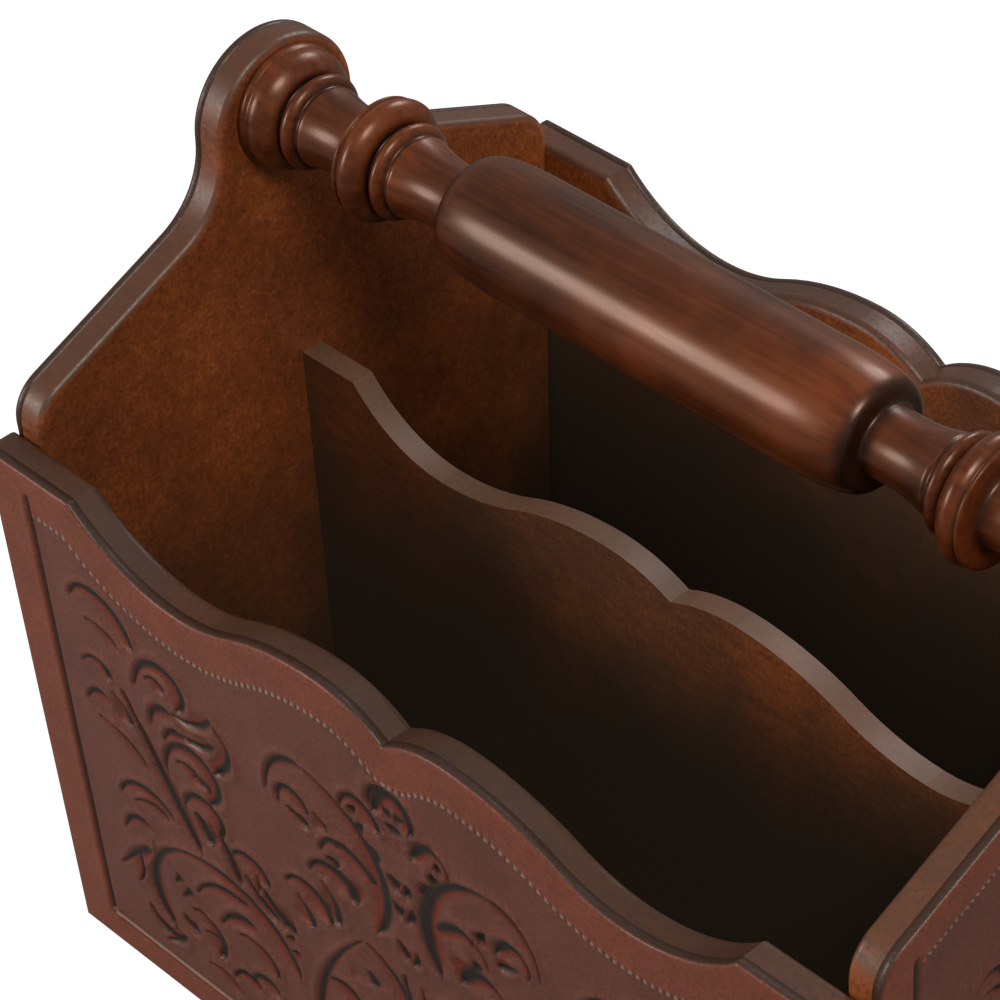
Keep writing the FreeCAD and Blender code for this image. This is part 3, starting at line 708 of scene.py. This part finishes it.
def leatherGrid(shape, face, s):
    # columns of points from the foot to the top edge, kept inside the outline by the edge's rounding
    halfTop, halfFoot, thickness = (shape[key] for key in ("halfTop", "halfFoot", "thickness"))
    rounding = s["edgeRoundMm"]
    rim = topOutline(shape["tree"], halfTop, thickness, face["stepMm"], s["coarsen"])
    tangent = np.gradient(rim, axis=0)
    tangent /= np.hypot(*tangent.T)[:, None]
    rimNormal = np.stack([-tangent[:, 1], tangent[:, 0]], axis=1)
    rimNormal *= np.sign(rimNormal[:, 1:2] + 1e-9)
    rows = s["coarsen"] * int(rim[:, 1].max() / face["stepMm"] / s["coarsen"]) + 1
    inset = rim - rimNormal * rounding
    inset[:, 0] = np.clip(inset[:, 0], -halfTop + rounding, halfTop - rounding)
    inset[0, 1] = rim[0, 1] - rounding
    inset[-1, 1] = rim[-1, 1] - rounding
    footX = np.linspace(-1, 1, len(rim)) * (halfFoot - rounding)
    if abs(halfFoot - halfTop) < 1:
        footX = inset[:, 0]
    t = np.linspace(0, 1, rows)
    lowest = rounding + thickness * math.tan(shape["lean"])
    gridX = footX[:, None] + (inset[:, 0] - footX)[:, None] * t
    gridY = lowest + (inset[:, 1] - lowest)[:, None] * t
    return rim, rimNormal, gridX, gridY


def edgeLoop(index, rim, rimNormal, shape):
    # the grid's edge all round: foot, right side, top, left side, each point with its outward direction
    columns, rows = index.shape
    loop = np.concatenate([index[:-1, 0], index[-1, :-1], index[:0:-1, -1], index[0, :0:-1]])
    slant = math.atan2(shape["halfTop"] - shape["halfFoot"], rim[0, 1])
    right = np.array([math.cos(slant), -math.sin(slant)])
    left = right * (-1, 1)
    foot = np.tile((0, -1.0), (columns - 1, 1))
    rise = (rows - 1, 1)
    aim = np.concatenate([foot, np.tile(right, rise), rimNormal[:0:-1], np.tile(left, rise)])
    aim[0] = left + (0, -1)
    aim[columns - 1] = right + (0, -1)
    aim[columns + rows - 2] = right + (0, 1)
    aim[2 * columns + rows - 3] = left + (0, 1)
    return loop, aim


def makeFace(name, nodeName, face, across, outward, s):
    shape = leatherPlace(nodeName, across, outward)
    rim, rimNormal, gridX, gridY = leatherGrid(shape, face, s)
    x, y = gridX.ravel(), gridY.ravel()
    field = reliefOf(x, y, rim, face, s)
    field["edge"] = np.zeros_like(x)
    masks = {key: [field[key]] for key in ("ground", "paste", "flank", "glint", "edge")}
    verts = [np.stack([x, y, shape["thickness"] + field["h"]], axis=1)]
    index = np.arange(gridX.size).reshape(gridX.shape)
    faces = weave(index, field["busy"].reshape(gridX.shape), s["coarsen"])
    loop, aim = edgeLoop(index, rim, rimNormal, shape)
    base = verts[0][loop]
    rounding = s["edgeRoundMm"]
    slope = math.tan(shape["lean"])
    after = np.roll(np.arange(len(loop)), -1)
    count = gridX.size
    previous = loop
    # rings that turn over the edge by these degrees; the last one lies on the wall
    for degrees, onWall in ((25, False), (50, False), (72, False), (90, False), (90, True)):
        angle = math.radians(degrees)
        ring = base.copy()
        ring[:, :2] += aim * rounding * math.sin(angle)
        ring[:, 2] = 0.0 if onWall else ring[:, 2] - rounding * (1 - math.cos(angle))
        # the foot stays on the surface it stands on
        ring[:, 1] = np.maximum(ring[:, 1], np.maximum(ring[:, 2], 0) * slope)
        current = np.arange(count, count + len(loop))
        faces += np.stack([previous, current, current[after], previous[after]], axis=-1).tolist()
        verts.append(ring)
        for key, parts in masks.items():
            parts.append(np.full(len(loop), smoothStep(0, 90, degrees) if key == "edge" else 0.0))
        previous = current
        count += len(loop)
    faces.append(previous.tolist()[::-1])
    # grid points inside the large faces belong to no face and are left out
    used = np.zeros(count, dtype=bool)
    used[np.fromiter((v for f in faces for v in f), dtype=int)] = True
    renumber = np.cumsum(used) - 1
    faces = [[int(renumber[v]) for v in f] for f in faces]
    piece = newPiece(name, np.concatenate(verts)[used] * mm, faces, leather)
    for key, parts in masks.items():
        addAttribute(piece, key, np.concatenate(parts)[used])
    piece.matrix_world = shape["place"]
    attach(piece, "root")
    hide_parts(nodeName)
    print(name, "tooled:", sum(len(f) - 2 for f in faces), "triangles")


makeFace("frontLeatherFace", "front_leather", longFace, Vector((1, 0, 0)), Vector((0, -1, 0)), tooling)
makeFace("backLeatherFace", "back_leather", longFace, Vector((-1, 0, 0)), Vector((0, 1, 0)), tooling)
makeFace("rightLeatherFace", "right_end_leather", endFace, Vector((0, 1, 0)), Vector((1, 0, 0)), tooling)
makeFace("leftLeatherFace", "left_end_leather", endFace, Vector((0, -1, 0)), Vector((-1, 0, 0)), tooling)


# a white surround for the eye; the rack itself is lit by a dimmer, warmer room and three softboxes
studio = {
    "floorMm": 12000, "floorDropMm": 0.2, "floorDark": "#868482", "floorPale": "#8c8a88", "floorGlow": 0.9,
    "sky": "#ffffff", "room": "#fff6ee", "roomStrength": 0.32,
}
# watts, size in mm, where it stands and what it aims at in metres, colour
softboxes = {
    "keySoftbox": (17, 600, (0.85, -0.45, 1.65), (-0.08, 0, 0.15), "#fff0e0"),
    "fillSoftbox": (7.5, 500, (-0.8, -1.05, 0.58), (0, 0, 0.2), "#fff4ea"),
    "rimSoftbox": (8, 600, (-0.3, 1.2, 1.2), (0, 0, 0.25), "#ffffff"),
}


def makeFloor(s):
    material, tree = newMaterial("paleStudioFloor")
    place = addNode(tree, "TexCoord")
    cloud = addNode(tree, "TexNoise", {"Scale": 2.0, "Detail": 2}, {"Vector": place.outputs["Object"]})
    colour = addNode(tree, "ValToRGB", {"stops": [(0.2, s["floorDark"]), (0.8, s["floorPale"])]},
                     {"Fac": cloud.outputs[0]})
    matte = addNode(tree, "BsdfPrincipled", {"Roughness": 0.8}, {"Base Color": colour.outputs[0]})
    glow = addNode(tree, "Emission", {"Color": s["sky"], "Strength": s["floorGlow"]})
    seen = addNode(tree, "LightPath")
    shown = addNode(tree, "MixShader", {}, {0: seen.outputs["Is Camera Ray"], 2: glow.outputs[0]})
    surface = addNode(tree, "AddShader", {}, {0: matte.outputs[0], 1: shown.outputs[0]})
    finishMaterial(tree, surface)
    half = s["floorMm"] / 2 * mm
    corners = [(-half, -half, 0), (half, -half, 0), (half, half, 0), (-half, half, 0)]
    floor = newPiece("studioFloor", corners, [(0, 1, 2, 3)], material, False)
    floor.location.z = cadBox[0][2] - s["floorDropMm"] * mm


def addLight(name, watts, sizeMm, position, target, colour):
    lamp = bpy.data.lights.new(name, "AREA")
    lamp.energy = watts
    lamp.shape = "DISK"
    lamp.size = sizeMm * mm
    lamp.color = toLinear(colour)[:3]
    light = bpy.data.objects.new(name, lamp)
    bpy.context.collection.objects.link(light)
    light.location = Vector(position)
    light.rotation_euler = (Vector(target) - light.location).to_track_quat("-Z", "Y").to_euler()


def makeWorld(s):
    world = bpy.data.worlds.new("softStudio")
    world.use_nodes = True
    tree = world.node_tree
    tree.nodes.clear()
    seen = addNode(tree, "LightPath")
    white = addNode(tree, "Background", {"Color": s["sky"], "Strength": 1.0})
    room = addNode(tree, "Background", {"Color": s["room"], "Strength": s["roomStrength"]})
    both = addNode(tree, "MixShader", {},
                   {0: seen.outputs["Is Camera Ray"], 1: room.outputs[0], 2: white.outputs[0]})
    addNode(tree, "OutputWorld", {}, {"Surface": both.outputs[0]})
    bpy.context.scene.world = world


# directions in degrees, position in mm
view = {
    "azimuth": 48.752, "elevation": 39.222, "roll": -3.941, "positionMm": (661.7, -651.5, 981.5),
    "lensMm": 141.99, "sensorMm": 36,
}


def makeCamera(v):
    az, el, roll = (math.radians(v[k]) for k in ("azimuth", "elevation", "roll"))
    back = Vector((math.sin(az) * math.cos(el), -math.cos(az) * math.cos(el), math.sin(el)))
    right = Vector((0, 0, 1)).cross(back).normalized()
    up = back.cross(right)
    turnedRight = right * math.cos(roll) + up * math.sin(roll)
    turnedUp = up * math.cos(roll) - right * math.sin(roll)
    lens = bpy.data.cameras.new("studioCamera")
    lens.sensor_width = v["sensorMm"]
    lens.lens = v["lensMm"]
    camera = bpy.data.objects.new("studioCamera", lens)
    bpy.context.collection.objects.link(camera)
    turned = Matrix((turnedRight, turnedUp, back)).transposed().to_4x4()
    turned.translation = Vector(v["positionMm"]) * mm
    camera.matrix_world = turned
    bpy.context.scene.camera = camera


makeFloor(studio)
makeWorld(studio)
for name, setting in softboxes.items():
    addLight(name, *setting)
makeCamera(view)
bpy.context.scene.view_settings.view_transform = "Standard"
print("stage set")
